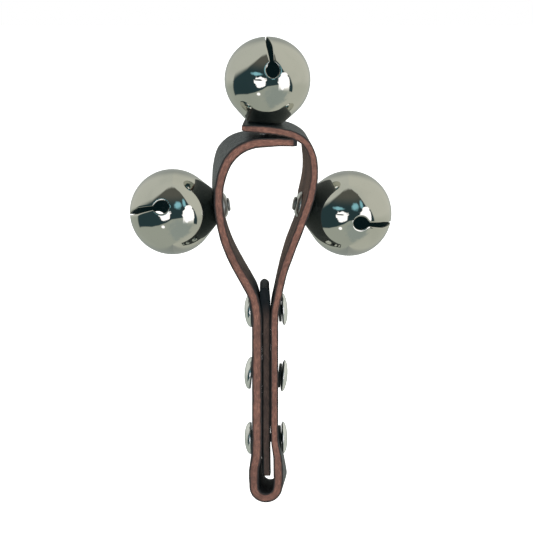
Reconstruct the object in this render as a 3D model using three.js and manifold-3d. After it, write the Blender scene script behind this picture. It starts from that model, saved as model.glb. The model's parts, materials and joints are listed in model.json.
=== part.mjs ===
// Hand sleigh bells: three jingle bells riveted round the loop of one folded leather strap,
// whose two legs close on a leather core and make a straight riveted handle.
// Millimetres. +X is to the right, +Y to the back, +Z up along the handle. The origin is the
// middle of the grip, on the middle handle rivet's axis, halfway between the handle's sides.

import * as THREE from 'three';
import { mergeVertices } from 'three/addons/utils/BufferGeometryUtils.js';
import Module from 'manifold-3d';

const GAP = 0.3; // left between pieces that touch
const STRAP_WIDTH = 28;
const LEG_FACE = 5.85; // from the middle of the handle to the outer face of each leg
const LEFT_LEG = { x: -3.7, thickness: 4.3 };
const RIGHT_LEG = { x: 4.2, thickness: 3.3 };

const CORE_THICKNESS = 3.5;
const CORE_WIDTH = 24;
const CORE_OFFSET = 0.5;
const CORE_TOP = 41.5;
const CORE_TIP_SHIFT = 0.8; // the free tip of the core bends to the left
const CORE_TIP_START = 26;
const CORE_BOTTOM = -44;

const BEND_RADIUS = 5.35; // middle of the leather, round the closed end of the strap
const BEND_CENTRE = { x: 1.4, z: -48.4 };
const BEND_THICKNESS = 4.1;
const BEND_LEAN = 0.08;

const SHANK_RADIUS = 2;
const HOLE_RADIUS = 2.3;
const HEAD_RADIUS = 7.25;
const CAP_HEIGHT = 2.9;
const DOME_HEIGHT = 2.2;
const COLLAR_RADIUS = 5.5;
const COLLAR_HEIGHT = 1.1;
const HANDLE_RIVETS = [
  { name: 'upper', z: 29.2, tilt: -3 },
  { name: 'middle', z: 0, tilt: 5 },
  { name: 'lower', z: -29.2, tilt: -1.5 },
];

const BELL_RADIUS = 19;
const SHELL_WALL = 0.8;
const SHELL_SEGMENTS = 30;
const FOOT_DEPTH = 18.6; // from the bell's centre to the flat that sits on the leather
const FOOT_RADIUS = 8;
const MOUTH_LATITUDE = 18; // degrees from the bell's equator towards its crown
const MOUTH_RADIUS = 3.2;
const MOUTH_STRETCH = 1.16;
const BURR_RADIUS = 5.75;
const INNER_HEAD_RADIUS = 5;
const INNER_HEAD_HEIGHT = 1.2;
const PEEN_RADIUS = 3.1;
const PEEN_HEIGHT = 1;
const PELLET_RADIUS = 4.5;
const PELLET_TRAVEL_RADIUS = 13.4; // from the bell's centre to the pellet's centre

// near: a point close to the rivet on the middle line of the leather. sink: how deep the foot
// is drawn into the leather. under: leather and air that the rivet crosses. burr: height of
// its burr. slot: direction of the middle of the slot, a few degrees off the bell's axis.
// axis: out of the leather, where the rivet stands a little off square.
// turn: of the slot about that, from facing the front. pellet: where it lies, in degrees
// round Y from straight down, + towards -X.
const BELLS = [
  {
    name: 'left', near: [-20.7, 76.4], sink: 0.4, under: 3.6, burr: 2.1, pellet: 0,
    slot: [-0.993, -0.097, -0.055], turn: 16.3,
  },
  {
    name: 'top', near: [-0.2, 112.4], sink: 0, under: 8, burr: 1.2, pellet: -28.5,
    slot: [-0.043, 0.01, 1], turn: 8.3, axis: [0.06, 0.01, 1],
  },
  {
    name: 'right', near: [17.1, 76.8], sink: 0.35, under: 3.2, burr: 2.1, pellet: 0,
    slot: [0.977, -0.035, -0.204], turn: 2.2, axis: [0.98, 0.06, -0.19],
  },
];

const LEATHER = { color: 0x6d4f44, roughness: 0.75, metalness: 0 };
const CORE_LEATHER = { color: 0x3f332d, roughness: 0.8, metalness: 0 };
const NICKEL = { color: 0xc9cbc4, roughness: 0.12, metalness: 1 };
const STEEL = { color: 0x8d8f8c, roughness: 0.35, metalness: 1 };

const wasm = await Module();
wasm.setup();

const sleighBells = new THREE.Group();

function solid(geometry, matrix = new THREE.Matrix4()) {
  const bare = geometry.clone().applyMatrix4(matrix);
  bare.deleteAttribute('normal');
  bare.deleteAttribute('uv');
  const merged = mergeVertices(bare, 1e-4);
  return new wasm.Manifold(new wasm.Mesh({
    numProp: 3,
    vertProperties: new Float32Array(merged.attributes.position.array),
    triVerts: new Uint32Array(merged.index.array),
  }));
}

function geometryOf(manifold) {
  const mesh = manifold.getMesh();
  const geometry = new THREE.BufferGeometry();
  geometry.setAttribute('position', new THREE.BufferAttribute(mesh.vertProperties, 3));
  geometry.setIndex(new THREE.BufferAttribute(mesh.triVerts, 1));
  geometry.computeVertexNormals();
  return geometry;
}

function addMesh(name, geometry, look, frame = new THREE.Matrix4()) {
  const mesh = new THREE.Mesh(geometry, new THREE.MeshStandardMaterial(look));
  mesh.name = name;
  frame.decompose(mesh.position, mesh.quaternion, mesh.scale);
  sleighBells.add(mesh);
}

// A body of revolution about local Z. The profile lists [radius, height] pairs and runs
// counter-clockwise with the radius to the right and the height up.
function turned(profile, segments = 18) {
  const points = profile.map(([radius, height]) => new THREE.Vector2(radius, height));
  return new THREE.LatheGeometry(points, segments).rotateX(Math.PI / 2);
}

function disc(radius, low, high) {
  return turned([[0, low], [radius, low], [radius, high], [0, high]]);
}

// Points of a shallow dome, from its rim at height low to its crown at height high.
function domeProfile(radius, low, high, steps = 4) {
  const points = [];
  for (let i = 0; i <= steps; i++) {
    const angle = (i / steps) * Math.PI / 2;
    points.push([radius * Math.cos(angle), low + (high - low) * Math.sin(angle)]);
  }
  points[steps][0] = 0;
  return points;
}

// The strap's middle line, from the lower layer's end down the left leg, round the bend and
// up the right leg to the upper layer's end. Each row is x, leather thickness, z, and lean,
// the sideways shift for each millimetre of depth.
function strapRows() {
  const left = (z) => [LEFT_LEG.x, LEFT_LEG.thickness, z, 0];
  const right = (z) => [RIGHT_LEG.x, RIGHT_LEG.thickness, z, 0];
  const rows = [
    [11.9, 3.4, 106.3, -0.16], [5, 3.7, 106.6, -0.17], [-2, 4.1, 106.4, -0.18],
    [-8, 4.3, 105.8, -0.18], [-13, 4.5, 103.7, -0.17], [-17.15, 4.5, 99.8, -0.15],
    [-19.6, 4.3, 94.2, -0.1], [-20.9, 4, 87, -0.06], [-21.1, 4, 79.5, -0.045],
    [-20.1, 4, 72, -0.03], [-17.8, 4, 63, -0.01], [-14.1, 4.1, 54, 0],
    [-8.3, 4.2, 43.5, 0], [-5.3, 4.3, 37.5, 0], [-3.95, 4.3, 31, 0],
    left(26), left(21), left(-22), left(-27),
    [-3.9, 4.6, -35, 0], [-4.45, 4.5, -41, BEND_LEAN / 2],
  ];
  const steps = 8;
  for (let i = 0; i <= steps; i++) {
    const angle = Math.PI * (1 + i / steps);
    rows.push([
      BEND_CENTRE.x + BEND_RADIUS * Math.cos(angle),
      BEND_THICKNESS,
      BEND_CENTRE.z + BEND_RADIUS * Math.sin(angle),
      BEND_LEAN,
    ]);
  }
  rows.push(
    [6.15, 4.4, -41, BEND_LEAN / 4], [5.5, 3.9, -35, 0], [4.4, 3.4, -28.5, 0],
    right(-22), right(-18), right(20), right(26),
    [4.5, 3.4, 32, 0], [5.6, 3.5, 37.3, 0], [7.7, 3.7, 47.2, 0.01], [11, 3.8, 58, -0.02],
    [15.6, 3.8, 70.5, -0.025], [18.15, 3.7, 81.2, -0.118], [19.9, 3.4, 91, -0.12],
    [19.5, 3.3, 99.8, -0.11], [17.4, 3.4, 106, -0.05], [13.4, 3.4, 109.2, -0.02],
    [7.7, 3.4, 111.1, 0.02], [-1.6, 3.4, 112.25, 0.04], [-9.6, 2.7, 112.8, 0.05],
  );
  return rows;
}

const strapPath = strapRows();
const line = new THREE.CatmullRomCurve3(
  strapPath.map(([x, thickness, z]) => new THREE.Vector3(x, thickness, z)));

function stationAt(u) {
  const point = line.getPoint(u);
  const tangent = line.getTangent(u);
  tangent.y = 0;
  tangent.normalize();
  const place = u * (strapPath.length - 1);
  const before = Math.min(Math.floor(place), strapPath.length - 2);
  const leans = [strapPath[before][3], strapPath[before + 1][3]];
  const lean = THREE.MathUtils.lerp(...leans, place - before);
  return { x: point.x, z: point.z, thickness: point.y, lean, tangent };
}

function makeStrapGeometry() {
  const count = (line.points.length - 1) * 3;
  const positions = [];
  for (let i = 0; i <= count; i++) {
    const { x, z, thickness, lean, tangent } = stationAt(i / count);
    for (const [side, depth] of [[-1, -1], [1, -1], [1, 1], [-1, 1]]) {
      const cornerX = x + side * tangent.z * thickness / 2;
      const cornerZ = z - side * tangent.x * thickness / 2;
      const y = depth * STRAP_WIDTH / 2;
      positions.push(cornerX + lean * y, y, cornerZ);
    }
  }
  const index = [0, 2, 1, 0, 3, 2];
  for (let i = 0; i < count; i++) {
    for (let j = 0; j < 4; j++) {
      const a = i * 4 + j;
      const b = i * 4 + (j + 1) % 4;
      index.push(a, b, a + 4, b, b + 4, a + 4);
    }
  }
  const last = count * 4;
  index.push(last, last + 1, last + 2, last, last + 2, last + 3);
  const geometry = new THREE.BufferGeometry();
  geometry.setAttribute('position', new THREE.Float32BufferAttribute(positions, 3));
  geometry.setIndex(index);
  return geometry;
}

function makeCoreGeometry() {
  const half = CORE_THICKNESS / 2;
  const shoulder = CORE_TOP - half;
  const middle = (z) => (
    CORE_OFFSET - CORE_TIP_SHIFT * THREE.MathUtils.smoothstep(z, CORE_TIP_START, CORE_TOP));
  const heights = [CORE_BOTTOM, CORE_TIP_START];
  const steps = 5;
  for (let i = 1; i <= steps; i++) {
    heights.push(THREE.MathUtils.lerp(CORE_TIP_START, shoulder, i / steps));
  }
  const outline = new THREE.Shape();
  outline.moveTo(middle(CORE_BOTTOM) - half, CORE_BOTTOM);
  heights.forEach((z) => outline.lineTo(middle(z) + half, z));
  outline.absarc(middle(shoulder), shoulder, half, 0, Math.PI, false);
  heights.slice(1).reverse().forEach((z) => outline.lineTo(middle(z) - half, z));
  outline.closePath();
  const settings = { depth: CORE_WIDTH, bevelEnabled: false, curveSegments: 8 };
  const geometry = new THREE.ExtrudeGeometry(outline, settings);
  geometry.rotateX(Math.PI / 2);
  return geometry.translate(0, CORE_WIDTH / 2, 0);
}

// Local Z of a handle rivet's frame points out of the handle's right side.
function handleFrame({ z, tilt }) {
  const frame = new THREE.Matrix4().makeTranslation(0, 0, z);
  const turn = new THREE.Matrix4().makeRotationY(Math.PI / 2 + THREE.MathUtils.degToRad(tilt));
  return frame.multiply(turn);
}

const COLLAR_LOW = LEG_FACE + GAP;
const DOME_LOW = COLLAR_LOW + COLLAR_HEIGHT + GAP;
const SOCKET_DEPTH = 1.6;

function handleRivetGeometry() {
  return turned([
    [0, -LEG_FACE - SOCKET_DEPTH], [SHANK_RADIUS, -LEG_FACE - SOCKET_DEPTH],
    [SHANK_RADIUS, DOME_LOW], [HEAD_RADIUS - 0.3, DOME_LOW],
    ...domeProfile(HEAD_RADIUS, DOME_LOW + 0.4, DOME_LOW + DOME_HEIGHT),
  ]);
}

function collarGeometry() {
  return turned([
    [HOLE_RADIUS, COLLAR_LOW], [COLLAR_RADIUS, COLLAR_LOW],
    [COLLAR_RADIUS, COLLAR_LOW + COLLAR_HEIGHT - 0.3],
    [COLLAR_RADIUS - 0.3, COLLAR_LOW + COLLAR_HEIGHT],
    [HOLE_RADIUS, COLLAR_LOW + COLLAR_HEIGHT], [HOLE_RADIUS, COLLAR_LOW],
  ]);
}

// The cap is pressed on the rivet's end, which stands in a socket in its flat side. It is
// turned with its crown up and then faces out of the handle's left side.
function capGeometry() {
  const low = LEG_FACE + GAP;
  const socket = low + SOCKET_DEPTH;
  const geometry = turned([
    [0, socket], [HOLE_RADIUS, socket], [HOLE_RADIUS, low], [HEAD_RADIUS - 0.3, low],
    ...domeProfile(HEAD_RADIUS, low + 0.7, low + CAP_HEIGHT),
  ]);
  return geometry.rotateX(Math.PI);
}

// A frame whose Z points along outward and whose -Y faces the front as far as it can.
function facingFrame(outward) {
  const back = new THREE.Vector3(0, 1, 0);
  const side = new THREE.Vector3().crossVectors(back, outward).normalize();
  back.crossVectors(outward, side);
  return new THREE.Matrix4().makeBasis(side, back, outward);
}

// Local Z of a bell's frame is the outward normal of the leather at the rivet, and its zero
// is the seat that the foot presses into the leather's outer face.
function bellFrame(bell) {
  let best = null;
  let bestDistance = Infinity;
  const samples = 4000;
  for (let i = 0; i <= samples; i++) {
    const station = stationAt(i / samples);
    const distance = Math.hypot(station.x - bell.near[0], station.z - bell.near[1]);
    if (distance < bestDistance) {
      bestDistance = distance;
      best = station;
    }
  }
  const { tangent } = best;
  const normal = new THREE.Vector3(tangent.z, -tangent.z * best.lean, -tangent.x);
  const outward = bell.axis ? new THREE.Vector3(...bell.axis) : normal;
  outward.normalize();
  const foot = new THREE.Vector3(best.x, 0, best.z);
  foot.addScaledVector(outward, best.thickness / 2 - bell.sink);
  return facingFrame(outward).setPosition(foot);
}

const BELL_CENTRE = GAP + FOOT_DEPTH;

// Outer or inner outline of the shell from its foot to its crown: a flat foot, a cone that
// meets the ball as a tangent, and the ball.
function shellOutline(radius, footRadius, footDepth, steps) {
  const reach = Math.hypot(footRadius, footDepth);
  const tangentAngle = Math.atan2(footRadius, footDepth) + Math.acos(radius / reach);
  const points = [[footRadius, -footDepth]];
  for (let i = 0; i <= steps; i++) {
    const angle = tangentAngle + (Math.PI - tangentAngle) * (i / steps);
    points.push([radius * Math.sin(angle), -radius * Math.cos(angle)]);
  }
  points[points.length - 1][0] = 0;
  return points;
}

// slotFrame turns the slot's own frame into the shell's: the slot crosses its Z.
function shellSolid(slotFrame) {
  const outer = shellOutline(BELL_RADIUS, FOOT_RADIUS, FOOT_DEPTH, 9);
  const inner = shellOutline(
    BELL_RADIUS - SHELL_WALL, FOOT_RADIUS - 0.4, FOOT_DEPTH - SHELL_WALL, 8);
  const wall = turned([
    [0, -FOOT_DEPTH], ...outer,
  ], SHELL_SEGMENTS);
  const hollow = turned([
    [0, SHELL_WALL - FOOT_DEPTH], ...inner,
  ], SHELL_SEGMENTS);
  let shell = solid(wall).subtract(solid(hollow));

  // The slot is narrow at the crown and at its two mouths, and wider between them.
  const reach = BELL_RADIUS * Math.cos(THREE.MathUtils.degToRad(MOUTH_LATITUDE));
  const slotHalf = [[0, 0.7], [6, 1.3], [12, 1.5], [reach, 0.95]];
  const slot = new THREE.Shape();
  slot.moveTo(-reach, -slotHalf[3][1]);
  const rim = [...slotHalf.slice(0, 3).reverse().map(([y, w]) => [-y, w]), ...slotHalf.slice(1)];
  rim.forEach(([y, width]) => slot.lineTo(y, -width));
  rim.reverse().forEach(([y, width]) => slot.lineTo(y, width));
  slot.lineTo(-reach, slotHalf[3][1]);
  slot.closePath();
  const low = BELL_RADIUS * Math.sin(THREE.MathUtils.degToRad(MOUTH_LATITUDE));
  const slotBlade = new THREE.ExtrudeGeometry(slot, { depth: BELL_RADIUS, bevelEnabled: false });
  slotBlade.rotateZ(Math.PI / 2).translate(0, 0, low);
  shell = shell.subtract(solid(slotBlade, slotFrame));

  for (const side of [-1, 1]) {
    const mouth = disc(MOUTH_RADIUS, BELL_RADIUS / 2, BELL_RADIUS * 1.2);
    mouth.scale(1, MOUTH_STRETCH, 1);
    mouth.rotateX(side * THREE.MathUtils.degToRad(90 - MOUTH_LATITUDE));
    shell = shell.subtract(solid(mouth, slotFrame));
  }
  const rivetHole = disc(HOLE_RADIUS, -BELL_RADIUS, -BELL_RADIUS / 2);
  return shell.subtract(solid(rivetHole));
}

function bellRivetGeometry({ under, burr }) {
  const headLow = GAP + SHELL_WALL + GAP;
  const peenHigh = -under - GAP - burr - GAP;
  const tubeRadius = 1.1;
  return turned([
    [0, peenHigh - 0.3], [tubeRadius, peenHigh - 0.3],
    [tubeRadius, peenHigh - PEEN_HEIGHT + 0.2], [tubeRadius + 0.5, peenHigh - PEEN_HEIGHT],
    [PEEN_RADIUS - 0.6, peenHigh - PEEN_HEIGHT], [PEEN_RADIUS, peenHigh - PEEN_HEIGHT / 2],
    [PEEN_RADIUS, peenHigh], [SHANK_RADIUS, peenHigh], [SHANK_RADIUS, headLow],
    [INNER_HEAD_RADIUS, headLow], [INNER_HEAD_RADIUS, headLow + INNER_HEAD_HEIGHT * 0.4],
    [INNER_HEAD_RADIUS * 0.6, headLow + INNER_HEAD_HEIGHT],
    [0, headLow + INNER_HEAD_HEIGHT],
  ]);
}

function burrGeometry({ under, burr }) {
  const flat = -under - GAP;
  return turned([
    [HOLE_RADIUS, flat - burr], [PEEN_RADIUS, flat - burr],
    [BURR_RADIUS * 0.75, flat - burr * 0.84], [BURR_RADIUS * 0.9, flat - burr * 0.52],
    [BURR_RADIUS, flat - burr * 0.19], [BURR_RADIUS - 0.2, flat],
    [HOLE_RADIUS, flat], [HOLE_RADIUS, flat - burr],
  ]);
}

function addHandle() {
  addMesh('handle_core', geometryOf(coreSolid()), CORE_LEATHER);
  for (const rivet of HANDLE_RIVETS) {
    const frame = handleFrame(rivet);
    addMesh(`handle_rivet_${rivet.name}`, handleRivetGeometry(), NICKEL, frame);
    addMesh(`handle_collar_${rivet.name}`, collarGeometry(), STEEL, frame);
    addMesh(`handle_cap_${rivet.name}`, capGeometry(), NICKEL, frame);
  }
}

function coreSolid() {
  let core = solid(makeCoreGeometry());
  for (const rivet of HANDLE_RIVETS) {
    core = core.subtract(solid(disc(HOLE_RADIUS, -LEG_FACE, LEG_FACE), handleFrame(rivet)));
  }
  return core;
}

// The heads, caps, feet and burrs press their seats into the leather.
function strapSolid() {
  let strap = solid(makeStrapGeometry());
  const reach = 30;
  for (const rivet of HANDLE_RIVETS) {
    const frame = handleFrame(rivet);
    const cutters = [
      disc(HOLE_RADIUS, -reach, reach),
      disc(COLLAR_RADIUS + GAP, LEG_FACE, reach),
      disc(HEAD_RADIUS + GAP, DOME_LOW - GAP, reach),
      disc(HEAD_RADIUS + GAP, -reach, -LEG_FACE),
    ];
    for (const cutter of cutters) {
      strap = strap.subtract(solid(cutter, frame));
    }
  }
  for (const bell of BELLS) {
    const frame = bellFrame(bell);
    const cutters = [
      disc(HOLE_RADIUS, -bell.under - 8, BELL_RADIUS),
      disc(FOOT_RADIUS + 1, 0, BELL_RADIUS / 2),
      disc(BURR_RADIUS + GAP, -bell.under - 8, -bell.under),
    ];
    for (const cutter of cutters) {
      strap = strap.subtract(solid(cutter, frame));
    }
  }
  return strap;
}

function addBell(bell) {
  const frame = bellFrame(bell);
  addMesh(`bell_rivet_${bell.name}`, bellRivetGeometry(bell), STEEL, frame);
  addMesh(`bell_burr_${bell.name}`, burrGeometry(bell), NICKEL, frame);

  const shellFrame = frame.clone();
  shellFrame.multiply(new THREE.Matrix4().makeTranslation(0, 0, BELL_CENTRE));
  const centre = new THREE.Vector3().setFromMatrixPosition(shellFrame);
  const slotFrame = facingFrame(new THREE.Vector3(...bell.slot).normalize());
  const turn = THREE.MathUtils.degToRad(bell.turn);
  slotFrame.multiply(new THREE.Matrix4().makeRotationZ(turn));
  slotFrame.premultiply(new THREE.Matrix4().extractRotation(shellFrame).invert());
  addMesh(`bell_shell_${bell.name}`, geometryOf(shellSolid(slotFrame)), NICKEL, shellFrame);

  const angle = THREE.MathUtils.degToRad(bell.pellet);
  const offset = new THREE.Vector3(-Math.sin(angle), 0, -Math.cos(angle));
  const place = centre.addScaledVector(offset, PELLET_TRAVEL_RADIUS);
  const pellet = new THREE.SphereGeometry(PELLET_RADIUS, 14, 8);
  const pelletFrame = new THREE.Matrix4().makeTranslation(place.x, place.y, place.z);
  addMesh(`bell_pellet_${bell.name}`, pellet, STEEL, pelletFrame);
}

addMesh('leather_strap', geometryOf(strapSolid()), LEATHER);
addHandle();
for (const bell of BELLS) {
  addBell(bell);
}

export default sleighBells;
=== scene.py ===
"""Looks of the hand sleigh bells: leather, nickel, studio and camera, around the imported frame."""

import json
import math

import bpy
import numpy as np
from mathutils import Matrix, Vector, noise


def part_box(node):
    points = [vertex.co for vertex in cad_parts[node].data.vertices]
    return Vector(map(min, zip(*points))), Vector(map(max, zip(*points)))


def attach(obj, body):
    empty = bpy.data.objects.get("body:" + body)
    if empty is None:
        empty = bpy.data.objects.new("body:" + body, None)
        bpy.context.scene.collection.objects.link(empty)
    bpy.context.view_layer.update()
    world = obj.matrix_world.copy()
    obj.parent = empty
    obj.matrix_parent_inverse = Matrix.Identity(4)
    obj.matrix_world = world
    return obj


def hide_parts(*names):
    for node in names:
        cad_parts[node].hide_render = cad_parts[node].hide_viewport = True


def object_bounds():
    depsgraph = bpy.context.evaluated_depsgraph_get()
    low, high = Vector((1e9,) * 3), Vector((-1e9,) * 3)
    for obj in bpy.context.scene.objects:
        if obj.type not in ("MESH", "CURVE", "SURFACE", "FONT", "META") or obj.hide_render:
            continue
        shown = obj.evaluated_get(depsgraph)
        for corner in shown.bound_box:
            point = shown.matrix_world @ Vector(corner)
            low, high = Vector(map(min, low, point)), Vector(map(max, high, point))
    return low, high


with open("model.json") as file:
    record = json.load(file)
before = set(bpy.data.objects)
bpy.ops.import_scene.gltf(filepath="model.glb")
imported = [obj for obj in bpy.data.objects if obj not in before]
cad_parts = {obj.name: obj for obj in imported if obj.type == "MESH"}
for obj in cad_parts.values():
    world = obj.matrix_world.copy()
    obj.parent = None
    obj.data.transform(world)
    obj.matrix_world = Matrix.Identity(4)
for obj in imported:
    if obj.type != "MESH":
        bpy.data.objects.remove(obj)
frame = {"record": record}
cad_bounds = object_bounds()
JOINTS = {joint["name"]: joint for joint in frame["record"]["behaviour"]["joints"]}

MM = 0.001
STRAP_WIDTH = 28
LEG_FACE = 5.85  # from the middle of the handle to the outer face of each leg
LEFT_LEG = (-3.64, 4.42)  # middle and thickness, closed up to the core
RIGHT_LEG = (4.14, 3.42)
BEND_RADIUS = 5.35  # middle of the leather, round the closed end of the strap
BEND_CENTRE = (1.4, -48.4)
BEND_THICKNESS = 4.1
BEND_LEAN = 0.08
STRAP_STEP = 0.8  # between the strap's rows
STRAP_CORNER = 0.35  # radius of its cut corners
CORE_THICKNESS = 3.74
CORE_WIDTH = 24
CORE_CORNER = 0.3
CORE_ROWS = 120
CORE_OFFSET = 0.5
CORE_TIP_SHIFT = 0.8  # the free tip of the core bends to the left
CORE_TIP_START = 26
CORE_TIP_SWELL = 0.55  # the tip is thicker, where nothing presses it
CORE_TIP_ROUND = 1.9
CORE_FOOT_START = -29
CORE_FOOT_TWIST = 0.02  # the free foot of the core is turned a little about its length
GRIP_TOP = 41  # painted shade: the flesh side of the strap is painted dark below this height
EDGE_STEPS = 6  # points across a cut edge
CORNER_STEPS = 5  # points round each of its corners
SEEN_GAP = 0.05  # left between pieces that touch
CAD_GAP = 0.3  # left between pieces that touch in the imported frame

BELL_RADIUS = 19
SHELL_WALL = 0.8
SHELL_ROWS = 40  # from the slot's edge to the pole at each side
LIP_POINTS = (0.18, 0.5, 0.82)  # shares of the wall, round the slot's edge
FOOT_RADIUS = 8
FOOT_DEPTH = 18.85  # from the bell's centre to its flat foot
BELL_CENTRE_HEIGHT = 18.9  # above the seat that the foot presses into the leather
MOUTH_ARC = math.radians(72)  # from the crown to the middle of each mouth
MOUTH_HALF_WIDTH = 3.2
MOUTH_HALF_LENGTH = 3.6
HEAD_RADIUS = 7.25
SHANK_RADIUS = 2
HOLE_RADIUS = 2.15
COLLAR_RADIUS = 5.5
COLLAR_HEIGHT = 1.1
BURR_RADIUS = 5.75

# slot: direction of its middle, and its turn about that. under: leather and air that the
# rivet crosses below its seat. burr: height of its burr.
BELLS = {
    "left": {"slot": (-0.993, -0.097, -0.055), "turn": 16.3, "under": 3.6, "burr": 2.1},
    "top": {"slot": (-0.043, 0.01, 1), "turn": 8.3, "under": 8, "burr": 1.2},
    "right": {"slot": (0.977, -0.035, -0.204), "turn": 2.2, "under": 3.2, "burr": 2.1},
}
HANDLE_TILTS = {"upper": -3, "middle": 5, "lower": -1.5}


# ---- camera -------------------------------------------------------------------------------


def make_camera():
    data = bpy.data.cameras.new("camera")
    data.sensor_width = 36
    data.lens = 206
    camera = bpy.data.objects.new("camera", data)
    camera.location = (0, -1.34, 0.281)
    aim = Vector((0.0006, 0, 0.049))
    camera.rotation_euler = (aim - camera.location).to_track_quat("-Z", "Y").to_euler()
    bpy.context.collection.objects.link(camera)
    bpy.context.scene.camera = camera


# ---- node helpers -------------------------------------------------------------------------


class Nodes:
    """Short calls for building the node tree of a material or a world."""

    def __init__(self, owner):
        owner.use_nodes = True
        self.owner = owner
        self.tree = owner.node_tree
        self.shader = self.tree.nodes.get("Principled BSDF")

    def add(self, kind, **settings):
        node = self.tree.nodes.new(kind)
        for key, value in settings.items():
            setattr(node, key, value)
        return node

    def link(self, output, target):
        self.tree.links.new(output, target)

    def put(self, socket, value):
        """Links an output to the socket, or sets the socket to a plain value."""
        if isinstance(value, bpy.types.NodeSocket):
            self.link(value, socket)
        elif value is not None:
            socket.default_value = value

    def attribute(self, name):
        return self.add("ShaderNodeAttribute", attribute_name=name)

    def object_space(self):
        return self.add("ShaderNodeTexCoord").outputs["Object"]

    def scaled(self, vector, scale):
        node = self.add("ShaderNodeVectorMath", operation="MULTIPLY")
        self.put(node.inputs[0], vector)
        node.inputs[1].default_value = scale
        return node.outputs[0]

    def noise(self, vector, scale, detail=4, roughness=0.55, distortion=0.0):
        node = self.add("ShaderNodeTexNoise")
        self.put(node.inputs["Vector"], vector)
        node.inputs["Scale"].default_value = scale
        node.inputs["Detail"].default_value = detail
        node.inputs["Roughness"].default_value = roughness
        node.inputs["Distortion"].default_value = distortion
        return node.outputs["Fac"]

    def voronoi(self, vector, scale, feature="F1"):
        node = self.add("ShaderNodeTexVoronoi", feature=feature)
        self.put(node.inputs["Vector"], vector)
        node.inputs["Scale"].default_value = scale
        return node.outputs["Distance"]

    def math(self, operation, first, second=None):
        node = self.add("ShaderNodeMath", operation=operation)
        self.put(node.inputs[0], first)
        self.put(node.inputs[1], second)
        return node.outputs[0]

    def ramp(self, value, low, high, start=0.0, end=1.0):
        """value mapped from low..high to start..end, smoothly, and held outside."""
        node = self.add("ShaderNodeMapRange", interpolation_type="SMOOTHSTEP")
        self.put(node.inputs["Value"], value)
        for key, number in zip(("From Min", "From Max", "To Min", "To Max"),
                               (low, high, start, end)):
            node.inputs[key].default_value = number
        return node.outputs["Result"]

    def mix(self, factor, first, second):
        node = self.add("ShaderNodeMix", data_type="RGBA")
        self.put(node.inputs["Factor"], factor)
        self.put(node.inputs[6], first)
        self.put(node.inputs[7], second)
        return node.outputs[2]

    def bump(self, height, distance, strength=1.0, normal=None):
        node = self.add("ShaderNodeBump")
        node.inputs["Strength"].default_value = strength
        node.inputs["Distance"].default_value = distance
        self.put(node.inputs["Height"], height)
        self.put(node.inputs["Normal"], normal)
        return node.outputs["Normal"]

    def finish(self, colour, roughness, normal=None, metallic=0.0):
        self.put(self.shader.inputs["Base Color"], colour)
        self.put(self.shader.inputs["Roughness"], roughness)
        self.put(self.shader.inputs["Normal"], normal)
        self.shader.inputs["Metallic"].default_value = metallic
        return self.owner


def srgb(red, green, blue):
    """A colour given as 0-255 display values, as Blender's linear RGBA."""
    linear = [((v / 255 + 0.055) / 1.055) ** 2.4 if v > 10 else v / 255 / 12.92
              for v in (red, green, blue)]
    return (*linear, 1.0)


# ---- materials ----------------------------------------------------------------------------


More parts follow.
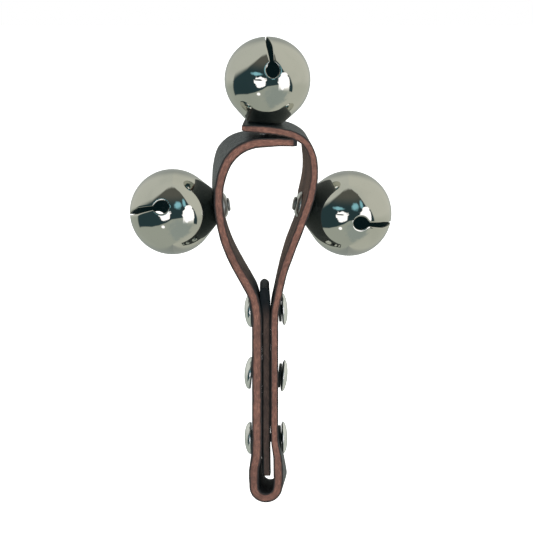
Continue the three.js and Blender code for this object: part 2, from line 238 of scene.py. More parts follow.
def leather_material(name, edge_light, edge_dark, border, grain, flesh, dark_end, shine,
                     painted_shade_run=None):
    """One hide: smooth dyed grain on the outside, rough flesh inside, fibrous cut edges.

    Its first end is dark, near the grain colour, from the first to the second distance in dark_end.
    The flesh side carries painted shade: it is painted dark from the first to the second distance
    in painted_shade_run.

    The vector attribute "hide" is the place in the flat hide in millimetres: along the
    strap, across its width, through its thickness. "layer" is 1 on the grain face, -1 on
    the flesh face, and "cut" is 1 on a cut edge.
    """
    n = Nodes(bpy.data.materials.new(name))
    hide = n.attribute("hide").outputs["Vector"]
    layer = n.attribute("layer").outputs["Fac"]
    cut = n.attribute("cut").outputs["Fac"]

    fibres = n.noise(n.scaled(hide, (0.35, 1.2, 3.2)), 1.6, detail=6, roughness=0.65)
    speckle = n.noise(n.scaled(hide, (1.4, 2.0, 2.6)), 2.4, detail=5, roughness=0.7)
    mottle = n.noise(n.scaled(hide, (0.45, 0.6, 0.9)), 1.0, detail=4, roughness=0.6)
    patches = n.noise(n.scaled(hide, (0.05, 0.12, 0.2)), 1.0, detail=3)
    wobble = n.math("ADD", n.math("ABSOLUTE", layer),
                    n.ramp(n.noise(n.scaled(hide, (0.3, 1, 1)), 1.0), 0.3, 0.7, -0.07, 0.07))

    edge = n.mix(n.ramp(fibres, 0.33, 0.66), edge_dark, edge_light)
    edge = n.mix(n.ramp(mottle, 0.36, 0.64, 0.65, 0.0), edge, edge_dark)
    edge = n.mix(n.ramp(speckle, 0.52, 0.72, 0.0, 0.55), edge, edge_dark)
    edge = n.mix(n.ramp(patches, 0.4, 0.75, 0.0, 0.35), edge, border)
    edge = n.mix(n.ramp(wobble, 0.46, 0.82), edge, border)

    pores = n.voronoi(n.scaled(hide, (1.0, 1.15, 1.0)), 2.6)
    wrinkle = n.noise(n.scaled(hide, (0.5, 0.22, 0.5)), 1.5, detail=5, distortion=0.6)
    grain_colour = n.mix(n.ramp(wrinkle, 0.3, 0.75), grain, [v * 1.7 for v in grain[:3]] + [1])
    nap = n.noise(n.scaled(hide, (1.2, 1.5, 1.0)), 2.2, detail=6, roughness=0.75)
    flesh_colour = n.mix(n.ramp(nap, 0.3, 0.7), flesh, [v * 0.55 for v in flesh[:3]] + [1])
    flesh_colour = n.mix(n.ramp(patches, 0.35, 0.7, 0.0, 0.5), flesh_colour, border)
    run = n.add("ShaderNodeSeparateXYZ")
    n.link(hide, run.inputs[0])
    if painted_shade_run:
        start, end = painted_shade_run
        # painted shade: inside the grip the flesh side is painted towards the dark grain colour
        inside = n.math("MULTIPLY", n.ramp(run.outputs["X"], start - 8, start + 3),
                        n.ramp(run.outputs["X"], end - 3, end + 8, 0.93, 0.0))
        flesh_colour = n.mix(inside, flesh_colour, grain)

    on_grain = n.ramp(layer, -0.2, 0.2)
    face = n.mix(on_grain, flesh_colour, grain_colour)
    colour = n.mix(n.ramp(cut, 0.35, 0.75), face, edge)
    # darker towards the first end, nearly the grain colour
    colour = n.mix(n.ramp(run.outputs["X"], *dark_end, 0.95, 0.0), colour, grain)

    face_rough = n.math("ADD", n.ramp(layer, -0.2, 0.2, 0.86, 0.42),
                        n.ramp(wrinkle, 0.3, 0.8, -0.05, 0.1))
    edge_rough = n.ramp(fibres, 0.3, 0.7, 0.5, 0.78)
    rough = n.add("ShaderNodeMix", data_type="FLOAT")
    n.put(rough.inputs["Factor"], n.ramp(cut, 0.35, 0.75))
    n.put(rough.inputs[2], face_rough)
    n.put(rough.inputs[3], edge_rough)

    relief = n.math("ADD", n.math("MULTIPLY", fibres, cut), n.math("MULTIPLY", speckle, 0.5))
    relief = n.math("ADD", relief, n.math("MULTIPLY", n.ramp(pores, 0.0, 0.4), 0.35))
    relief = n.math("ADD", relief, n.math("MULTIPLY", nap, n.ramp(layer, -0.3, 0.0, 0.8, 0.0)))
    normal = n.bump(relief, 0.22 * MM, 0.75)
    n.shader.inputs["Specular IOR Level"].default_value = shine
    n.shader.inputs["Specular Tint"].default_value = (0.84, 0.96, 1.0, 1)
    return n.finish(colour, rough.outputs[0], normal)


def nickel_material(name, tone, dull, smooth, rough, scratch=0.35):
    """Plated metal: tone with duller, slightly darker smears, fine scratches and soft dents."""
    n = Nodes(bpy.data.materials.new(name))
    space = n.object_space()
    smears = n.noise(space, 55, detail=3, roughness=0.5, distortion=0.4)
    handling = n.noise(n.scaled(space, (1.0, 1.0, 2.2)), 210, detail=5, roughness=0.7)
    scratches = n.noise(n.scaled(space, (3.0, 0.35, 1.0)), 900, detail=2)
    colour = n.mix(n.ramp(smears, 0.42, 0.75), tone, dull)
    colour = n.mix(n.ramp(handling, 0.62, 0.8, 0.0, 0.4), colour, dull)
    roughness = n.math("ADD", n.ramp(smears, 0.35, 0.75, smooth, rough),
                       n.ramp(handling, 0.6, 0.85, 0.0, scratch * 0.12))
    dents = n.math("ADD", n.math("MULTIPLY", smears, 0.6), n.math("MULTIPLY", scratches, 0.02))
    return n.finish(colour, roughness, n.bump(dents, 0.12 * MM, scratch), metallic=1.0)


def steel_material(name):
    n = Nodes(bpy.data.materials.new(name))
    space = n.object_space()
    turned_marks = n.noise(n.scaled(space, (1, 1, 6)), 700, detail=4)
    stains = n.noise(space, 260, detail=4, roughness=0.6)
    colour = n.mix(n.ramp(stains, 0.4, 0.75), srgb(206, 208, 206), srgb(160, 161, 158))
    roughness = n.ramp(turned_marks, 0.3, 0.7, 0.36, 0.56)
    return n.finish(colour, roughness, n.bump(turned_marks, 0.05 * MM, 0.5), metallic=1.0)


def inside_material(name):
    """The unpolished inside of a shell: dull plate with dark drawing marks, and a faint teal glow
    of painted light.
    """
    n = Nodes(bpy.data.materials.new(name))
    space = n.object_space()
    marks = n.noise(n.scaled(space, (1, 1, 3)), 320, detail=5, roughness=0.7)
    colour = n.mix(n.ramp(marks, 0.35, 0.7), srgb(92, 94, 92), srgb(46, 48, 48))
    # painted light: a faint teal glow brightens the inside, standing in for light that comes in
    # through the slot
    n.shader.inputs["Emission Color"].default_value = (0.3, 0.9, 1.0, 1)
    n.shader.inputs["Emission Strength"].default_value = 0.008
    return n.finish(colour, n.ramp(marks, 0.3, 0.7, 0.45, 0.7), n.bump(marks, 0.08 * MM, 0.6),
                    metallic=1.0)


# ---- mesh helpers -------------------------------------------------------------------------


def mesh_object(name, vertices, faces, materials, smooth=True, shades=None):
    mesh = bpy.data.meshes.new(name)
    mesh.from_pydata([tuple(v) for v in vertices], [], faces)
    for material in materials:
        mesh.materials.append(material)
    mesh.polygons.foreach_set("use_smooth", [smooth] * len(mesh.polygons))
    if shades:
        mesh.polygons.foreach_set("material_index", shades)
    mesh.validate()
    mesh.update()
    piece = bpy.data.objects.new(name, mesh)
    bpy.context.collection.objects.link(piece)
    return piece


def fillet(profile, radius, closed=False, steps=4):
    """Rounds the corners of a [radius, height] outline, except its ends on the axis."""
    points = [Vector(p) for p in profile]
    rounded = []
    for i, corner in enumerate(points):
        if not closed and i in (0, len(points) - 1):
            rounded.append(corner)
            continue
        before = points[i - 1] - corner
        after = points[(i + 1) % len(points)] - corner
        reach = min(radius, before.length * 0.45, after.length * 0.45)
        start = corner + before.normalized() * reach
        end = corner + after.normalized() * reach
        for step in range(steps + 1):
            t = step / steps
            rounded.append(start * (1 - t) ** 2 + corner * 2 * t * (1 - t) + end * t ** 2)
    return [(max(p.x, 0.0), p.y) for p in rounded]


def lathe(name, profile, place, material, segments=72, closed=False):
    """A turned piece in millimetres about local Z, put at the matrix place, in metres."""
    vertices = []
    rings = []
    for radius, height in profile:
        if radius < 1e-6:
            rings.append([len(vertices)] * segments)
            vertices.append((0, 0, height))
            continue
        start = len(vertices)
        for i in range(segments):
            angle = 2 * math.pi * i / segments
            vertices.append((radius * math.cos(angle), radius * math.sin(angle), height))
        rings.append(list(range(start, start + segments)))
    faces = []
    pairs = list(zip(rings, rings[1:])) + ([(rings[-1], rings[0])] if closed else [])
    for low, high in pairs:
        for i in range(segments):
            j = (i + 1) % segments
            corners = [low[i], low[j], high[j], high[i]]
            unique = list(dict.fromkeys(corners))
            if len(unique) > 2:
                faces.append(unique)
    placed = [place @ (Vector(v) * MM) for v in vertices]
    return mesh_object(name, placed, faces, [material])


def stand_for(piece, body, node):
    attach(piece, body)
    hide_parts(node)


# ---- leather ------------------------------------------------------------------------------


def strap_points():
    """The strap's middle line as x, thickness, z and lean, as the CAD has it.

    Lean is the sideways shift for each millimetre of depth.
    """
    points = [
        (11.9, 3.4, 106.3, -0.16), (5, 3.7, 106.6, -0.17), (-2, 4.1, 106.4, -0.18),
        (-8, 4.3, 105.8, -0.18), (-13, 4.5, 103.7, -0.17), (-17.15, 4.5, 99.8, -0.15),
        (-19.6, 4.3, 94.2, -0.1), (-20.9, 4, 87, -0.06), (-21.1, 4, 79.5, -0.045),
        (-20.1, 4, 72, -0.03), (-17.8, 4, 63, -0.01), (-14.1, 4.1, 54, 0),
        (-8.3, 4.2, 43.5, 0), (-5.3, 4.3, 37.5, 0), (-3.95, 4.3, 31, 0),
    ]
    points += [(*LEFT_LEG, z, 0) for z in (26, 21, -22, -27)]
    points += [(-3.9, 4.6, -35, 0), (-4.45, 4.5, -41, BEND_LEAN / 2)]
    steps = 8
    for i in range(steps + 1):
        angle = math.pi * (1 + i / steps)
        points.append((BEND_CENTRE[0] + BEND_RADIUS * math.cos(angle), BEND_THICKNESS,
                       BEND_CENTRE[1] + BEND_RADIUS * math.sin(angle), BEND_LEAN))
    points += [(6.15, 4.4, -41, BEND_LEAN / 4), (5.5, 3.9, -35, 0), (4.4, 3.4, -28.5, 0)]
    points += [(*RIGHT_LEG, z, 0) for z in (-22, -18, 20, 26)]
    points += [
        (4.5, 3.4, 32, 0), (5.6, 3.5, 37.3, 0), (7.7, 3.7, 47.2, 0.01), (11, 3.8, 58, -0.02),
        (15.6, 3.8, 70.5, -0.025), (18.15, 3.7, 81.2, -0.118), (19.9, 3.4, 91, -0.12),
        (19.5, 3.3, 99.8, -0.11), (17.4, 3.4, 106, -0.05), (13.4, 3.4, 109.2, -0.02),
        (7.7, 3.4, 111.1, 0.02), (-1.6, 3.4, 112.25, 0.04), (-9.6, 2.7, 112.8, 0.05),
    ]
    return np.array(points, float)


def smooth_line(points, spacing):
    """Evenly spaced rows on the centripetal Catmull-Rom curve through the given ones.

    The curve is of x, thickness and z, and the lean changes evenly from row to row.
    """
    path = points[:, :3]
    ends = np.vstack([2 * path[0] - path[1], path, 2 * path[-1] - path[-2]])
    pieces = []
    t = np.linspace(0, 1, 24, endpoint=False)[:, None]
    for i in range(len(points) - 1):
        a, b, c, d = ends[i:i + 4]
        g0, g1, g2 = (np.linalg.norm(v) ** 0.5 for v in (b - a, c - b, d - c))
        m1 = ((b - a) / g0 - (c - a) / (g0 + g1) + (c - b) / g1) * g1
        m2 = ((c - b) / g1 - (d - b) / (g1 + g2) + (d - c) / g2) * g1
        curve = (b + m1 * t + (3 * (c - b) - 2 * m1 - m2) * t ** 2
                 + (2 * (b - c) + m1 + m2) * t ** 3)
        lean = points[i, 3] * (1 - t) + points[i + 1, 3] * t
        pieces.append(np.hstack([curve, lean]))
    fine = np.vstack([*pieces, points[-1:]])
    run = np.concatenate([[0], np.cumsum(np.hypot(*np.diff(fine[:, [0, 2]], axis=0).T))])
    count = int(run[-1] / spacing) + 1
    along = np.linspace(0, run[-1], count)
    return along, np.column_stack([np.interp(along, run, column) for column in fine.T])


def section(width, corner, face_steps):
    """Rounded outline of a strap's section, grain side first.

    Each row: share of half the thickness, offset through the thickness, depth, cut share.
    """
    half = width / 2
    rows = []
    depths = np.linspace(-half + corner, half - corner, face_steps)
    shares = np.linspace(1, -1, EDGE_STEPS)
    turn = np.linspace(0, math.pi / 2, CORNER_STEPS + 2)[1:-1]
    rows += [(1, corner, y, 0) for y in depths]
    rows += [(1, corner * math.cos(a), half - corner + corner * math.sin(a), a / (math.pi / 2))
             for a in turn]
    rows += [(s, 0, half, 1) for s in shares]
    rows += [(-1, -corner * math.sin(a), half - corner + corner * math.cos(a),
              1 - a / (math.pi / 2)) for a in turn]
    rows += [(-1, -corner, y, 0) for y in depths[::-1]]
    rows += [(-1, -corner * math.cos(a), -half + corner - corner * math.sin(a),
              a / (math.pi / 2)) for a in turn]
    rows += [(s, 0, -half, 1) for s in shares[::-1]]
    rows += [(1, corner * math.sin(a), -half + corner - corner * math.cos(a),
              1 - a / (math.pi / 2)) for a in turn]
    return np.array(rows)


def leather_strip(name, along, line, width, corner, face_steps, material, presses=()):
    """A strip of hide swept along line (x, thickness, z, lean), flat under its rivets."""
    tangent = np.gradient(line[:, [0, 2]], axis=0)
    tangent /= np.linalg.norm(tangent, axis=1)[:, None]
    outline = section(width, corner, face_steps)
    share, offset, depth, cut = outline.T
    end_bevel = [0.9, 0.45, 0.12, 0.0]
    stations = len(along)
    rows = []
    hide = []
    layers = []
    for i in range(stations):
        x, thickness, z, lean = line[i]
        nearest_end = min(i, stations - 1 - i)
        squeeze = end_bevel[nearest_end] * corner if nearest_end < len(end_bevel) else 0
        through = share * (thickness / 2 - corner) + offset
        through = through * (1 - 2 * squeeze / thickness)
        y = depth * (1 - 2 * squeeze / width)
        ripple = [0.06 * noise.noise((along[i] * 0.12, v * 0.12, 7 * s))
                  + 0.05 * noise.noise((along[i] * 0.45, v * 0.4, 3 + 5 * s))
                  for v, s in zip(y, share)]
        through = through + np.array(ripple) * np.sign(share)
        sway = [0.16 * noise.noise((along[i] * 0.05, 11 * np.sign(v), 0.3))
                + 0.06 * noise.noise((along[i] * 0.3, 11 * np.sign(v), 2.3)) for v in y]
        y = y + np.array(sway)
        px = x + through * tangent[i, 1] + lean * y
        pz = z - through * tangent[i, 0]
        rows.append(np.column_stack([px, y, pz]))
        hide.append(np.column_stack([np.full(len(y), along[i]), y, through]))
        layers.append(through / (thickness / 2))
    vertices = np.vstack(rows)
    for centre, axis, radius, height in presses:
        press(vertices, np.array(centre), np.array(axis), radius, height)
    count = len(outline)
    faces = []
    for i in range(stations - 1):
        for j in range(count):
            k = (j + 1) % count
            faces.append((i * count + j, (i + 1) * count + j, (i + 1) * count + k,
                          i * count + k))
    faces += end_faces(0, count, face_steps, flip=False)
    faces += end_faces((stations - 1) * count, count, face_steps, flip=True)
    piece = mesh_object(name, vertices * MM, faces, [material])
    write_attribute(piece, "hide", "FLOAT_VECTOR", np.vstack(hide))
    write_attribute(piece, "layer", "FLOAT", np.concatenate(layers))
    cuts = np.tile(cut, stations)
    for i in (0, 1, stations - 2, stations - 1):
        cuts[i * count:(i + 1) * count] = 1
    write_attribute(piece, "cut", "FLOAT", cuts)
    return piece


def end_faces(start, count, face_steps, flip):
    """Faces that close a strip's end, from its grain side across to its flesh side."""
    flesh_start = face_steps + CORNER_STEPS + EDGE_STEPS + CORNER_STEPS
    grain = [start + j for j in range(face_steps)]
    flesh = [start + flesh_start + j for j in range(face_steps)][::-1]
    faces = [(grain[j], grain[j + 1], flesh[j + 1], flesh[j]) for j in range(face_steps - 1)]
    faces.append(tuple(start + j for j in range(face_steps - 1, flesh_start + 1)))
    faces.append(tuple(start + j % count
                       for j in range(flesh_start + face_steps - 1, count + 1)))
    return [tuple(reversed(f)) for f in faces] if flip else faces


def press(vertices, centre, axis, radius, height):
    """Pushes what stands above the plane at height along axis back to it, near the axis.

    The flattened disc has the given radius, and slopes up round its edge.
    """
    soft_edge = 1.6
    edge_rise = 1.1
    deepest = 2.2
    local = vertices - centre
    above = local @ axis
    radial = np.linalg.norm(local - above[:, None] * axis, axis=1)
    limit = height + edge_rise * np.clip((radial - radius) / soft_edge, 0, 1) ** 2
    near = (abs(above - height) < deepest) & (radial < radius + soft_edge)
    push = np.where(near, np.minimum(0, limit - above), 0)
    vertices += push[:, None] * axis


def write_attribute(piece, name, kind, values):
    attribute = piece.data.attributes.new(name, kind, "POINT")
    key = "vector" if kind == "FLOAT_VECTOR" else "value"
    attribute.data.foreach_set(key, np.asarray(values, np.float32).ravel())


# ---- bell shells --------------------------------------------------------------------------


def slot_half_width(arc):
    """Half the opening's width at a distance from the crown along the slot, in millimetres."""
    arc = abs(arc)
    middle = BELL_RADIUS * MOUTH_ARC
    slit = float(np.interp(arc, [0, 3, 11, 17, 21], [0.22, 0.8, 1.45, 1.15, 0.9]))
    reach = (arc - middle) / MOUTH_HALF_LENGTH
    if reach > 0.999:  # the column at the tip itself is closed
        return 0.0
    if reach >= 0:
        return MOUTH_HALF_WIDTH * math.sqrt(1 - reach ** 2)
    taper = max(0.0, 1 - abs(reach / 1.3) ** 2.2)
    return max(slit, MOUTH_HALF_WIDTH * taper)


def shell_radius(polar, radius, foot_radius, foot_depth):
    """Distance from the centre to the shell at an angle from the foot's axis."""
    reach = math.hypot(foot_radius, foot_depth)
    rim = math.atan2(foot_radius, foot_depth)
    touch = rim + math.acos(radius / reach)
    if polar >= touch:
        return radius
    if polar <= rim:
        return foot_depth / math.cos(polar)
    return radius / math.cos(touch - polar)


def shell_columns():
    """Angles from the crown towards the front, closer together round the two mouths."""
    tip = MOUTH_ARC + MOUTH_HALF_LENGTH / BELL_RADIUS
    neck = MOUTH_ARC - 1.35 * MOUTH_HALF_LENGTH / BELL_RADIUS
    slit = list(np.linspace(0, neck, 22, endpoint=False))
    mouth = [neck + (tip - neck) * math.sin(t * math.pi / 2) ** 0.85
             for t in np.linspace(0, 1, 30, endpoint=False)]
    under = list(np.linspace(tip, math.pi, 44))
    half = slit + mouth + under
    return half + [2 * math.pi - a for a in half[-2:0:-1]]


def bell_shell(name, place, slot, outside, inside):
    """A one-piece shell: outer and inner wall, rounded and dished along the slot.

    slot turns directions of the slot's own axes into the bell's.
    """
    columns = shell_columns()
    rows = SHELL_ROWS
    known = {}
    vertices = []

    def toward(side, beta, angle):
        return slot @ Vector((side * math.sin(beta), -math.cos(beta) * math.sin(angle),
                              math.cos(beta) * math.cos(angle)))

    def vertex(direction, distance):
        """The index of the vertex at that spot, which neighbouring strips share."""
        spot = tuple(round(c * distance, 6) for c in direction)
        if spot not in known:
            known[spot] = len(vertices)
            vertices.append(Vector(spot))
        return known[spot]

    def strip(side, angle):
        """Vertex indices from the outer wall's far side round the lip to the inner wall."""
        arc = BELL_RADIUS * (angle if angle <= math.pi else angle - 2 * math.pi)
        half_width = slot_half_width(arc)
        start = math.asin(min(half_width / BELL_RADIUS, 1))
        shares = [0.75 * (k / rows) ** 2.4 + 0.25 * k / rows for k in range(rows, -1, -1)]
        betas = [start + (math.pi / 2 - start) * s for s in shares]
        lip = min(1.0, half_width / 1.1)
        indices = []
        for wall, order in ((0, betas), (1, betas[::-1])):
            for beta in order:
                direction = toward(side, beta, angle)
                polar = math.acos(max(-1, min(1, -direction.z)))
                if wall == 0:
                    distance = shell_radius(polar, BELL_RADIUS, FOOT_RADIUS, FOOT_DEPTH)
                else:
                    distance = shell_radius(polar, BELL_RADIUS - SHELL_WALL,
                                            FOOT_RADIUS - 0.4, FOOT_DEPTH - SHELL_WALL)
                gap = BELL_RADIUS * (beta - start)
                distance -= (lip * (0.12 + 0.1 * mouth_share(arc))
                             * max(0, 1 - gap / 0.6) ** 1.2)
                indices.append(vertex(direction, distance))
                if wall == 0 and beta == order[-1] and lip > 0:
                    indices += lip_points(side, start, angle, distance, lip)
        return indices

    def mouth_share(arc):
        """1 at the middle of a mouth, falling to 0 in the slit."""
        return max(0.0, 1 - abs(abs(arc) - BELL_RADIUS * MOUTH_ARC) / 4.5)

    def lip_points(side, start, angle, distance, lip):
        """The rounded edge of the metal between the outer and the inner wall."""
        found = []
        for t in LIP_POINTS:
            bulge = 0.16 * math.sin(math.pi * t) * lip
            beta = max(start - bulge / BELL_RADIUS, 0)
            found.append(vertex(toward(side, beta, angle), distance - SHELL_WALL * t))
        return found

    faces = []
    shades = []
    for side in (1, -1):
        strips = [strip(side, angle) for angle in columns]
        for c, current in enumerate(strips):
            after = strips[(c + 1) % len(strips)]
            open_here = len(current) > 2 * rows + 2
            open_next = len(after) > 2 * rows + 2
            for corners, inner in stitch(current, after, open_here, open_next):
                corners = list(dict.fromkeys(corners))
                if len(corners) > 2:
                    faces.append(corners if side > 0 else corners[::-1])
                    shades.append(inner)
    placed = [place @ (v * MM) for v in vertices]
    return mesh_object(name, placed, faces, [outside, inside], shades=shades)


def stitch(here, after, open_here, open_after):
    """Faces between two strips of a shell, with the lip only where the slot is open.

    Each face comes with its material: 0 for the outside and the lip, 1 for the inside.
    """
    faces = ladder(here[:SHELL_ROWS + 1], after[:SHELL_ROWS + 1], 0)
    if open_here or open_after:
        faces += ladder(lip_of(here, open_here), lip_of(after, open_after), 0)
    return faces + ladder(here[-SHELL_ROWS - 1:], after[-SHELL_ROWS - 1:], 1)


def ladder(left, right, material):
    return [((left[k], left[k + 1], right[k + 1], right[k]), material)
            for k in range(len(left) - 1)]


def lip_of(strip, is_open):
    """Where the slot has closed, its lip runs straight from the outer to the inner wall."""
    if is_open:
        return strip[SHELL_ROWS:SHELL_ROWS + 5]
    outer, inner = strip[SHELL_ROWS:SHELL_ROWS + 2]
    return [outer, outer, outer, inner, inner]


def facing_basis(outward):
    """Axes with Z along outward, and -Y as near the front as that allows."""
    side = Vector((0, 1, 0)).cross(outward).normalized()
    return Matrix((side, outward.cross(side), outward)).transposed()


def bell_basis(name):
    return facing_basis(Vector(JOINTS[f"bell_turn_{name}"]["axis"]).normalized())


def bell_place(name):
    """Matrix at the bell's centre, Z along its rivet and away from the leather."""
    centre = JOINTS[f"bell_turn_{name}"]["pos_m"]
    return Matrix.Translation(centre) @ bell_basis(name).to_4x4()


def slot_basis(name):
    """The slot's own axes in the bell's: it crosses Z and runs along Y."""
    bell = BELLS[name]
    turn = Matrix.Rotation(math.radians(bell["turn"]), 3, "Z")
    return bell_basis(name).transposed() @ facing_basis(Vector(bell["slot"]).normalized()) @ turn


# ---- rivets -------------------------------------------------------------------------------


def handle_place(name):
    """Matrix on the rivet's axis in the middle of the handle, Z out of the right side."""
    tilt = math.radians(HANDLE_TILTS[name])
    low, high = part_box(f"handle_collar_{name}")
    centre = (Vector(low) + Vector(high)) / 2
    height = centre.z + math.tan(tilt) * centre.x
    return Matrix.Translation((0, centre.y, height)) @ Matrix.Rotation(
        math.pi / 2 + tilt, 4, "Y")


def dome(radius, low, high, steps=14):
    """Points of a dome from its rim at low to its crown at high."""
    turn = [math.pi / 2 * i / steps for i in range(steps + 1)]
    points = [(radius * math.cos(a), low + (high - low) * math.sin(a)) for a in turn]
    return points[:-1] + [(0.0, high)]


def handle_rivet(name, materials):
    place = handle_place(name)
    collar_low = LEG_FACE + CAD_GAP
    dome_low = collar_low + COLLAR_HEIGHT + CAD_GAP
    under = dome_low - 0.15
    profile = fillet([(0, -LEG_FACE - 1.6), (SHANK_RADIUS, -LEG_FACE - 1.6),
                      (SHANK_RADIUS, under), (HEAD_RADIUS - 1.4, under),
                      (HEAD_RADIUS - 0.1, under + 0.35)], 0.25)
    profile = profile[:-1] + dome(HEAD_RADIUS, dome_low + 0.45, dome_low + 2.5)
    head = lathe(f"head_{name}", profile, place, materials["rivet"])
    stand_for(head, "strap", f"handle_rivet_{name}")

    ring = fillet([
        (HOLE_RADIUS, collar_low - 0.2), (COLLAR_RADIUS, collar_low - 0.2),
        (COLLAR_RADIUS, dome_low - 0.35), (HOLE_RADIUS, dome_low - 0.2),
    ], 0.3, closed=True)
    collar = lathe(f"collar_{name}", ring, place, materials["collar"], closed=True)
    stand_for(collar, "strap", f"handle_collar_{name}")

    low = LEG_FACE + SEEN_GAP
    cap_profile = fillet([(0, low + 1.9), (HOLE_RADIUS, low + 1.9), (HOLE_RADIUS, low),
                          (HEAD_RADIUS - 0.5, low)], 0.2)
    cap_profile = cap_profile[:-1] + [(HEAD_RADIUS - 0.35, low), (HEAD_RADIUS - 0.05, low + 0.25)]
    cap_profile += dome(HEAD_RADIUS, low + 0.8, low + 3.4)
    flip = place @ Matrix.Rotation(math.pi, 4, "X")
    cap = lathe(f"cap_{name}", cap_profile, flip, materials["rivet"])
    stand_for(cap, "strap", f"handle_cap_{name}")


def bell_rivet(name, materials):
    foot = bell_place(name) @ Matrix.Translation((0, 0, -BELL_CENTRE_HEIGHT * MM))
    height = BELLS[name]["burr"]
    flat = -BELLS[name]["under"] - SEEN_GAP
    head = CAD_GAP + SHELL_WALL + CAD_GAP
    peen = flat - height - SEEN_GAP
    profile = fillet([
        (0, peen + 0.1), (1.15, peen + 0.1), (1.15, peen - 0.75), (1.7, peen - 1.1),
        (2.5, peen - 1.05), (3.1, peen - 0.5), (3.0, peen), (SHANK_RADIUS, peen),
        (SHANK_RADIUS, head), (5.0, head), (5.0, head + 0.5), (3.4, head + 1.1),
        (0, head + 1.2),
    ], 0.3)
    rivet = lathe(f"rivet_{name}", profile, foot, materials["steel"])
    stand_for(rivet, "strap", f"bell_rivet_{name}")

    ring = fillet([
        (2.1, flat - height), (3.0, flat - height), (4.3, flat - 0.84 * height),
        (5.2, flat - 0.52 * height), (5.72, flat - 0.19 * height), (BURR_RADIUS, flat),
        (2.1, flat),
    ], 0.35, closed=True)
    burr = lathe(f"burr_{name}", ring, foot, materials["washer"], closed=True)
    stand_for(burr, "strap", f"bell_burr_{name}")


def pellet(name, material):
    """A rolled steel ball with the small flats and dents of a rough cast."""
    low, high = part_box(f"bell_pellet_{name}")
    centre = (Vector(low) + Vector(high)) / 2
    radius = (high[2] - low[2]) / 2 / MM
    steps = 26
    arc = [(radius * math.sin(math.pi * i / steps), -radius * math.cos(math.pi * i / steps))
           for i in range(steps + 1)]
    arc[0] = (0.0, -radius)
    arc[-1] = (0.0, radius)
    piece = lathe(f"pellet_{name}", arc, Matrix.Translation(centre), material, segments=48)
    for vertex in piece.data.vertices:
        out = (vertex.co - centre).normalized()
        dent = 0.12 * max(0, noise.noise(out * 2.3 + Vector((3, 5, 7))))
        vertex.co -= out * dent * MM
    stand_for(piece, f"pellet_{name}", f"bell_pellet_{name}")


# ---- the object ---------------------------------------------------------------------------


def strap_presses():
    """Where heads, caps, feet and burrs press into the leather, in millimetres."""
    presses = []
    for name in HANDLE_TILTS:
        place = handle_place(name)
        centre = place.translation / MM
        axis = place.col[2].to_3d()
        presses.append((centre, axis, COLLAR_RADIUS + 0.1, LEG_FACE + 0.08))
        presses.append((centre, axis, HEAD_RADIUS + 0.1, LEG_FACE + CAD_GAP * 2 + 0.9))
        presses.append((centre, -axis, HEAD_RADIUS, LEG_FACE))
    for name, bell in BELLS.items():
        place = bell_place(name)
        outward = place.col[2].to_3d()
        centre = place.translation / MM - outward * BELL_CENTRE_HEIGHT
        presses.append((centre, outward, FOOT_RADIUS + 0.3, 0))
        presses.append((centre, -outward, BURR_RADIUS + 0.05, bell["under"]))
    return presses


def make_strap(material):
    along, line = smooth_line(strap_points(), STRAP_STEP)
    piece = leather_strip("strap", along, line, STRAP_WIDTH, STRAP_CORNER, 27, material,
                          strap_presses())
    stand_for(piece, "strap", "leather_strap")


def make_core(material):
    low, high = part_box("handle_core")
    bottom, top = low[2] / MM, high[2] / MM
    heights = np.linspace(top - 0.02, bottom + 0.02, CORE_ROWS)
    rise = np.clip((heights - CORE_TIP_START) / (top - CORE_TIP_START), 0, 1)
    middle = CORE_OFFSET - CORE_TIP_SHIFT * rise * rise * (3 - 2 * rise)
    shoulder = top - CORE_TIP_ROUND
    rounded = np.sqrt(np.clip(1 - ((heights - shoulder) / CORE_TIP_ROUND) ** 2, 0.12, 1))
    swell = np.interp(heights, (CORE_TIP_START, CORE_TIP_START + 7), (0, CORE_TIP_SWELL))
    thick = (CORE_THICKNESS + swell) * np.where(heights > shoulder, rounded, 1)
    lean = np.interp(heights, (bottom, CORE_FOOT_START), (-CORE_FOOT_TWIST, 0))
    line = np.column_stack([middle, thick, heights, lean])
    piece = leather_strip("core", top - heights, line, CORE_WIDTH, CORE_CORNER, 15,
                          material)
    stand_for(piece, "strap", "handle_core")


def grip_run():
    """Where the grip begins and ends, in millimetres along the strap."""
    along, line = smooth_line(strap_points(), STRAP_STEP)
    inside = along[line[:, 2] < GRIP_TOP]
    return float(inside.min()), float(inside.max())


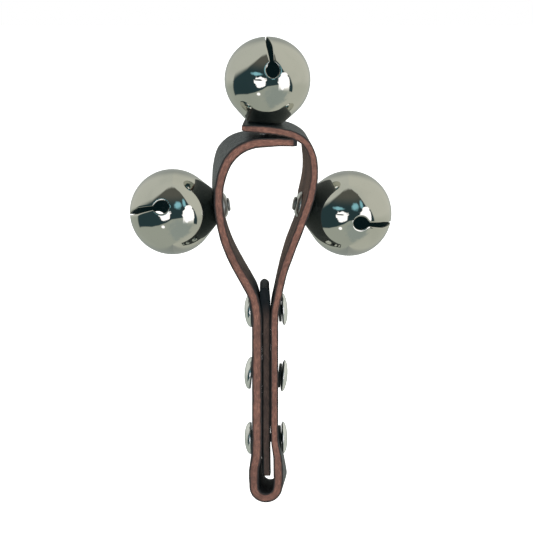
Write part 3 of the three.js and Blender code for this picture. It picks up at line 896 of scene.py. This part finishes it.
def make_object():
    strap_leather = leather_material(
        "strap_leather", edge_light=srgb(172, 121, 104), edge_dark=srgb(104, 70, 59),
        border=srgb(42, 33, 31), grain=srgb(11, 19, 23), flesh=srgb(122, 98, 86),
        # painted shade: the flesh side is painted dark along the grip
        dark_end=(1.2, 2.6), shine=0.7, painted_shade_run=grip_run())
    core_leather = leather_material(
        "core_leather", edge_light=srgb(96, 79, 72), edge_dark=srgb(66, 54, 49),
        border=srgb(22, 24, 24), grain=srgb(11, 19, 23), flesh=srgb(58, 48, 42),
        dark_end=(6, 17), shine=0.3)
    materials = {
        "rivet": nickel_material("rivet_nickel", srgb(240, 242, 239), srgb(216, 218, 214),
                                 0.16, 0.3),
        # painted shade: the collars get a dark tone, standing in for the shaded gap under each head
        "collar": nickel_material("collar_painted_shade", srgb(74, 78, 78), srgb(40, 44, 45),
                                  0.3, 0.5),
        "washer": nickel_material("washer_nickel", srgb(206, 208, 205), srgb(160, 164, 163),
                                  0.3, 0.45),
        "steel": steel_material("inner_steel"),
    }
    shell_outside = nickel_material("bell_nickel", srgb(206, 206, 197), srgb(198, 199, 190),
                                    0.03, 0.06, 0.22)
    shell_inside = inside_material("bell_inside")
    make_strap(strap_leather)
    make_core(core_leather)
    for name in HANDLE_TILTS:
        handle_rivet(name, materials)
    for name in BELLS:
        bell_rivet(name, materials)
        shell = bell_shell(f"shell_{name}", bell_place(name), slot_basis(name), shell_outside,
                           shell_inside)
        stand_for(shell, f"bell_{name}", f"bell_shell_{name}")
        pellet(name, materials["steel"])


# ---- studio -------------------------------------------------------------------------------


def make_world():
    """A pale room with a dark teal wall and bright panels behind the camera.

    Only the metal sees them: what the camera sees past the object is plain white.
    """
    world = bpy.data.worlds.new("studio")
    bpy.context.scene.world = world
    n = Nodes(world)
    axes = n.add("ShaderNodeSeparateXYZ")
    facing = n.add("ShaderNodeTexCoord").outputs["Generated"]
    n.link(facing, axes.inputs[0])
    toward_camera = n.math("MULTIPLY", axes.outputs["Y"], -1.0)
    azimuth = n.math("DEGREES", n.math("ARCTAN2", axes.outputs["X"], toward_camera))
    elevation = n.math("DEGREES", n.math("ARCSINE", axes.outputs["Z"]))
    uneven = n.math("SUBTRACT", n.noise(facing, 5.5, detail=3), 0.5)

    def by_azimuth(rows):
        """A height in degrees for every azimuth, straight between the rows given."""
        ramp = n.add("ShaderNodeValToRGB")
        stops = ramp.color_ramp.elements
        for i, (turn, height) in enumerate(rows):
            place = (turn + 180) / 360
            stop = stops[i] if i < 2 else stops.new(place)
            stop.position = place
            stop.color = (*[(height + 90) / 180] * 3, 1)
        n.link(n.math("DIVIDE", n.math("ADD", azimuth, 180.0), 360.0), ramp.inputs["Fac"])
        height = n.math("MULTIPLY", ramp.outputs["Color"], 180.0)
        return n.math("SUBTRACT", height, 90.0)

    def oval(turn, height, half_turn, half_height, soft):
        """1 inside an upright oval patch with an uneven outline, and 0 outside it."""
        across = n.math("DIVIDE", n.math("SUBTRACT", azimuth, turn), half_turn)
        upright = n.math("DIVIDE", n.math("SUBTRACT", elevation, height), half_height)
        reach = n.math("SQRT", n.math("ADD", n.math("MULTIPLY", across, across),
                                      n.math("MULTIPLY", upright, upright)))
        return n.ramp(n.math("ADD", reach, n.math("MULTIPLY", uneven, 1.3)), 1 - soft,
                      1 + soft, 1.0, 0.0)

    wall_top = by_azimuth([(-118, -40), (-106, -9), (-100, 5), (-78, 19), (-64, 30), (-50, 50),
                           (-38, 70), (-10, 78), (24, 76), (38, 62), (44, 42), (49, 24),
                           (61, 12), (72, -12), (79, -40)])
    wall_foot = by_azimuth([(-105, -27), (-62, -31), (-37, -28), (-15, -21), (0, -12),
                            (30, -8), (60, -8), (64, -24), (80, -26)])
    sharpness = n.ramp(azimuth, -60, 20, 9.0, 4.0)
    below_top = n.ramp(n.math("DIVIDE", n.math("SUBTRACT", wall_top, elevation), sharpness),
                       -1.0, 1.0)
    above_foot = n.ramp(n.math("SUBTRACT", elevation, wall_foot), -1.5, 1.5)
    wall = n.math("MULTIPLY", below_top, above_foot)

    room = n.mix(n.ramp(elevation, -14, -2), (0.46, 0.49, 0.44, 1), (0.66, 0.67, 0.62, 1))
    room = n.mix(n.ramp(azimuth, 20, 80, 0.0, 0.5), room, (0.74, 0.73, 0.65, 1))
    room = n.mix(oval(26, -42, 34, 30, 0.3), room, (0.38, 0.43, 0.41, 1))
    far = n.ramp(n.math("ABSOLUTE", azimuth), 138, 172, 0.0, 0.7)
    room = n.mix(n.math("MULTIPLY", far, n.ramp(elevation, 30, 62, 1.0, 0.0)), room,
                 (0.3, 0.33, 0.33, 1))
    teal = n.mix(n.ramp(elevation, 22, 56), (0.03, 0.06, 0.07, 1), (0.13, 0.13, 0.115, 1))
    room = n.mix(wall, room, teal)
    for turn, height, half_turn, half_height in ((-31, 20, 14, 4), (17, 25, 9, 9),
                                                 (37, 29, 5, 9)):
        patch = oval(turn, height, half_turn, half_height, 0.5)
        room = n.mix(patch, room, (0.34, 0.72, 0.86, 1))
    white = (1.9, 1.85, 1.95, 1)
    room = n.mix(oval(-19, -1, 16, 14, 0.12), room, white)
    room = n.mix(oval(46, 0, 15.5, 21, 0.08), room, white)
    low = n.math("MULTIPLY", n.ramp(n.math("ABSOLUTE", n.math("SUBTRACT", azimuth, 46.0)),
                                    14, 17, 1.0, 0.0), n.ramp(elevation, -26, -8))
    room = n.mix(n.math("MULTIPLY", low, n.ramp(elevation, -2, 2, 1.0, 0.0)), room, white)
    room = n.mix(oval(-26, -33, 5, 4, 0.4), room, white)
    room = n.mix(oval(-24, 4, 11, 1.6, 0.4), room, teal)
    straight = n.add("ShaderNodeLightPath").outputs["Is Camera Ray"]
    n.link(n.mix(straight, room, (1, 1, 1, 1)), n.tree.nodes["Background"].inputs["Color"])


def area_light(name, azimuth, elevation, distance, size, power, colour):
    """A soft panel that the metal doesn't show. Azimuth 0 is the camera's side, + right."""
    data = bpy.data.lights.new(name, "AREA")
    data.shape = "RECTANGLE"
    data.size, data.size_y = size
    data.energy = power
    data.color = colour
    lamp = bpy.data.objects.new(name, data)
    target = Vector((0, 0, 0.07))
    az, el = math.radians(azimuth), math.radians(elevation)
    direction = Vector((math.sin(az) * math.cos(el), -math.cos(az) * math.cos(el), math.sin(el)))
    lamp.location = target + direction * distance
    lamp.rotation_euler = (-direction).to_track_quat("-Z", "Y").to_euler()
    lamp.visible_glossy = False
    bpy.context.collection.objects.link(lamp)


def make_studio():
    bpy.context.scene.view_settings.view_transform = "Standard"
    make_world()
    area_light("front_fill", -14, 14, 1.8, (0.9, 0.9), 21, (1, 0.985, 0.97))
    n = Nodes(bpy.data.materials.new("floor"))
    n.shader.inputs["Emission Color"].default_value = (1, 1, 1, 1)
    n.shader.inputs["Emission Strength"].default_value = 1.0
    surface = n.finish((0.9, 0.9, 0.9, 1), 0.8)
    half = 4.0
    level = cad_bounds[0][2] - 0.16
    corners = [(-half, -half, level), (half, -half, level), (half, half, level),
               (-half, half, level)]
    floor = mesh_object("floor", corners, [(0, 1, 2, 3)], [surface], smooth=False)
    floor.visible_glossy = False
    floor.visible_diffuse = False


make_camera()
make_object()
make_studio()
